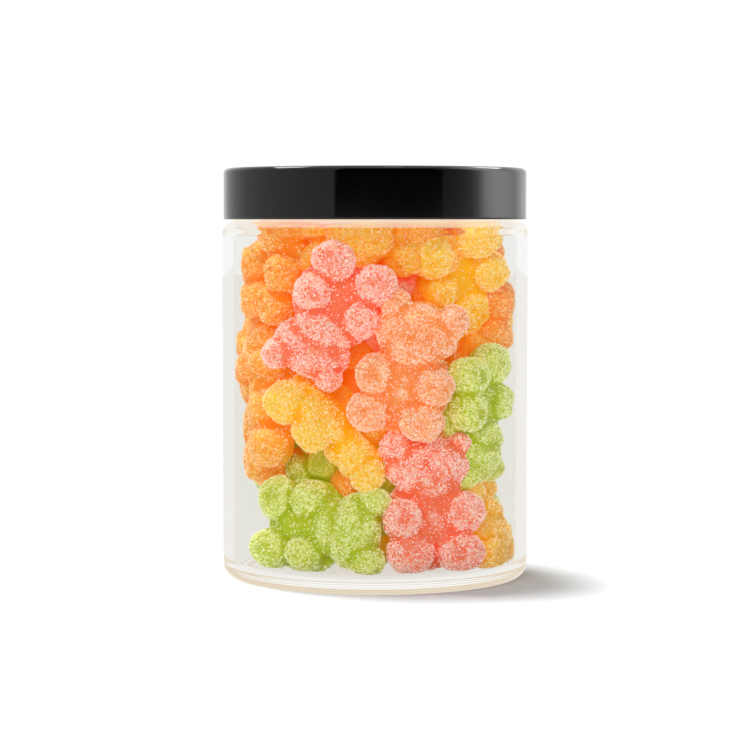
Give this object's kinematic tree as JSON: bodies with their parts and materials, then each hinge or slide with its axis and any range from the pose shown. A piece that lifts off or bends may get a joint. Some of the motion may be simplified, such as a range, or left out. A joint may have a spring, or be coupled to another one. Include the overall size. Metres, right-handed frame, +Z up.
{
  "type": "jar of gummy bears",
  "caption": "Straight-sided clear jar with a smooth black screw lid, packed full of large sugar-coated gummy bears in orange, yellow, pink and green.",
  "frame": {"origin": "centre of the jar's foot ring, on the surface it stands on", "axes": "+Z up along the jar's axis through the lid, -Y towards the front that the picture shows, +X to the right"},
  "size_m": [0.074, 0.074, 0.0988],
  "materials": {
    "clear_glass": "clear, polished, thick-walled",
    "black_lid": "smooth glossy black moulded plastic",
    "gummy_orange": "translucent orange gel under fine sour sugar",
    "gummy_peach": "translucent peach gel under fine sour sugar",
    "gummy_yellow": "translucent yellow gel under fine sour sugar",
    "gummy_pink": "translucent pink gel under fine sour sugar",
    "gummy_green": "translucent green gel under fine sour sugar",
    "sugar": "fine white sugar grains"
  },
  "bodies": {
    "root": {"jar": "clear_glass", "lid": "black_lid", "gummy_bears": "gummy_orange"}
  },
  "joints": []
}
